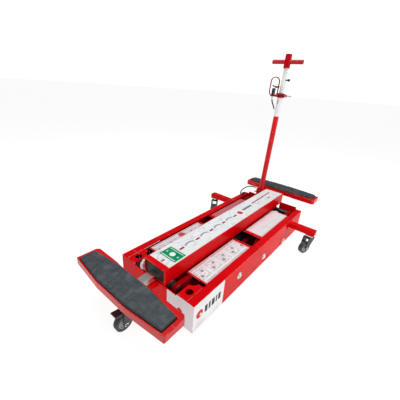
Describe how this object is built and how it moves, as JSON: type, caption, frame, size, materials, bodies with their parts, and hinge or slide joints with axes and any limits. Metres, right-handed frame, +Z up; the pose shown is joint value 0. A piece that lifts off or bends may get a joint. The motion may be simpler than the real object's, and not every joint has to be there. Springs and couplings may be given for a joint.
{
  "type": "mobile scissor car jack",
  "caption": "Low wheeled scissor lift with a beam carrying a rubber-padded crossbar at each end, swivel casters and a telescoping T handle.",
  "frame": {"origin": "on the floor, under the middle of the chassis", "axes": "+X along the chassis towards the handle, +Y to its left, +Z up"},
  "size_m": [1.5, 0.758, 1.0816],
  "materials": {
    "red_paint": "gloss",
    "plated": "satin",
    "label_white": "satin",
    "black_rubber": "matte",
    "wheel_rubber": "matte",
    "dark_steel": "satin",
    "brass": "satin",
    "hose_black": "satin",
    "upper_paint": "satin",
    "black_plastic": "satin"
  },
  "bodies": {
    "chassis": {"chassis_tray": "red_paint", "rear_end_plates": "red_paint", "front_corner_plates": "red_paint", "roller_tracks": "plated", "base_brackets": "red_paint", "side_caps": "plated", "cylinder_mount": "dark_steel", "cylinders": "dark_steel", "power_unit": "dark_steel", "pressure_pipes": "plated", "outriggers": "red_paint", "caster_plates": "plated", "handle_bracket": "red_paint", "handle_pivot_bolt": "plated", "air_inlet": "brass", "control_hose": "hose_black", "hose_fittings": "dark_steel"},
    "arm_a": {"arm_a_bars": "red_paint", "arm_a_covers": "red_paint", "front_labels": "label_white", "torque_shaft": "plated", "cranks": "red_paint", "centre_pins": "plated", "top_roller_shaft": "plated"},
    "top_roller_pair": {"top_rollers": "plated"},
    "arm_b": {"arm_b_bars": "red_paint", "arm_b_covers": "red_paint", "rear_labels": "label_white", "base_roller_shaft": "plated"},
    "base_roller_pair": {"base_rollers": "plated"},
    "drive": {"crosshead": "dark_steel", "cylinder_rods": "plated"},
    "lifting_beam": {"beam": "red_paint", "beam_pins": "plated", "slide_guides": "dark_steel"},
    "front_knob": {"front_clamp_knob": "plated"},
    "rear_knob": {"rear_clamp_knob": "plated"},
    "front_crossbar": {"front_bar": "red_paint", "front_pad": "black_rubber", "front_slide": "plated"},
    "rear_crossbar": {"rear_bar": "red_paint", "rear_pad": "black_rubber", "rear_slide": "plated"},
    "front_caster": {"front_caster_fork": "dark_steel"},
    "front_wheel": {"front_caster_wheel": "wheel_rubber"},
    "front_brake": {"brake_pedal": "black_plastic"},
    "left_caster": {"left_caster_fork": "dark_steel"},
    "left_wheel": {"left_caster_wheel": "wheel_rubber"},
    "right_caster": {"right_caster_fork": "dark_steel"},
    "right_wheel": {"right_caster_wheel": "wheel_rubber"},
    "handle": {"lower_tube": "red_paint", "handle_head": "red_paint", "valve_body": "black_plastic", "valve_hose": "hose_black"},
    "upper_handle": {"upper_tube": "upper_paint", "grip_head": "red_paint", "grip_bar": "red_paint", "spring_pin": "black_plastic"},
    "lever": {"clamp_lever": "plated"},
    "trigger": {"valve_trigger": "black_plastic"}
  },
  "joints": [
    {"name": "lift", "type": "hinge", "parent": "chassis", "child": "arm_a", "pos_m": [0.505, 0, 0.0463], "axis": [0, 1, 0], "range_deg": [0, 36]},
    {"name": "arm_cross", "type": "hinge", "parent": "arm_a", "child": "arm_b", "pos_m": [0, 0, 0.086], "axis": [0, 1, 0], "range_deg": [-72, 0]},
    {"name": "beam_level", "type": "hinge", "parent": "arm_b", "child": "lifting_beam", "pos_m": [0.505, 0, 0.1257], "axis": [0, 1, 0], "range_deg": [0, 36]},
    {"name": "drive_stroke", "type": "slide", "parent": "chassis", "child": "drive", "axis": [1, 0, 0], "range_m": [0, 0.04326]},
    {"name": "top_roller_spin", "type": "hinge", "parent": "arm_a", "child": "top_roller_pair", "pos_m": [-0.505, 0, 0.1257], "axis": [0, 1, 0], "continuous": true},
    {"name": "base_roller_spin", "type": "hinge", "parent": "arm_b", "child": "base_roller_pair", "pos_m": [-0.505, 0, 0.0463], "axis": [0, 1, 0], "continuous": true},
    {"name": "front_reach", "type": "slide", "parent": "lifting_beam", "child": "front_crossbar", "axis": [-1, 0, 0], "range_m": [0, 0.08]},
    {"name": "rear_reach", "type": "slide", "parent": "lifting_beam", "child": "rear_crossbar", "axis": [1, 0, 0], "range_m": [0, 0.08]},
    {"name": "front_knob_turn", "type": "hinge", "parent": "lifting_beam", "child": "front_knob", "pos_m": [-0.531, 0.07, 0.176], "axis": [0, 1, 0], "range_deg": [0, 720]},
    {"name": "rear_knob_turn", "type": "hinge", "parent": "lifting_beam", "child": "rear_knob", "pos_m": [0.47, 0.07, 0.176], "axis": [0, 1, 0], "range_deg": [0, 720]},
    {"name": "front_swivel", "type": "hinge", "parent": "chassis", "child": "front_caster", "pos_m": [-0.678, 0, 0.11], "axis": [0, 0, 1], "continuous": true},
    {"name": "left_swivel", "type": "hinge", "parent": "chassis", "child": "left_caster", "pos_m": [0.35, 0.352, 0.11], "axis": [0, 0, 1], "continuous": true},
    {"name": "right_swivel", "type": "hinge", "parent": "chassis", "child": "right_caster", "pos_m": [0.35, -0.352, 0.11], "axis": [0, 0, 1], "continuous": true},
    {"name": "front_roll", "type": "hinge", "parent": "front_caster", "child": "front_wheel", "pos_m": [-0.704, 0, 0.038], "axis": [0, -1, 0], "continuous": true},
    {"name": "left_roll", "type": "hinge", "parent": "left_caster", "child": "left_wheel", "pos_m": [0.32589, 0.34226, 0.038], "axis": [0.3746, -0.9272, 0], "continuous": true},
    {"name": "right_roll", "type": "hinge", "parent": "right_caster", "child": "right_wheel", "pos_m": [0.32589, -0.34226, 0.038], "axis": [-0.3746, -0.9272, 0], "continuous": true},
    {"name": "brake_press", "type": "hinge", "parent": "front_caster", "child": "front_brake", "pos_m": [-0.702, 0, 0.092], "axis": [0, -1, 0], "range_deg": [0, 8], "stiffness_Nm_per_rad": 3, "springref_deg": -2.86},
    {"name": "handle_tilt", "type": "hinge", "parent": "chassis", "child": "handle", "pos_m": [0.545, 0.09, 0.2], "axis": [0, 1, 0], "range_deg": [-50, 0]},
    {"name": "handle_length", "type": "slide", "parent": "handle", "child": "upper_handle", "axis": [0.0593, 0, 0.9982], "range_m": [-0.055, 0.12]},
    {"name": "clamp_release", "type": "hinge", "parent": "handle", "child": "lever", "pos_m": [0.58367, 0.059, 0.85085], "axis": [0.9982, 0, -0.0593], "range_deg": [0, 75]},
    {"name": "valve_squeeze", "type": "hinge", "parent": "handle", "child": "trigger", "pos_m": [0.55816, 0.11828, 0.89845], "axis": [-0.7059, -0.7071, 0.0419], "range_deg": [0, 10], "stiffness_Nm_per_rad": 1, "springref_deg": -5.73}
  ],
  "couplings": [
    {"joint": "arm_cross", "follows": "lift", "ratio": -2},
    {"joint": "beam_level", "follows": "lift", "ratio": 1},
    {"joint": "drive_stroke", "follows": "lift", "m_per_rad": 0.068854}
  ]
}
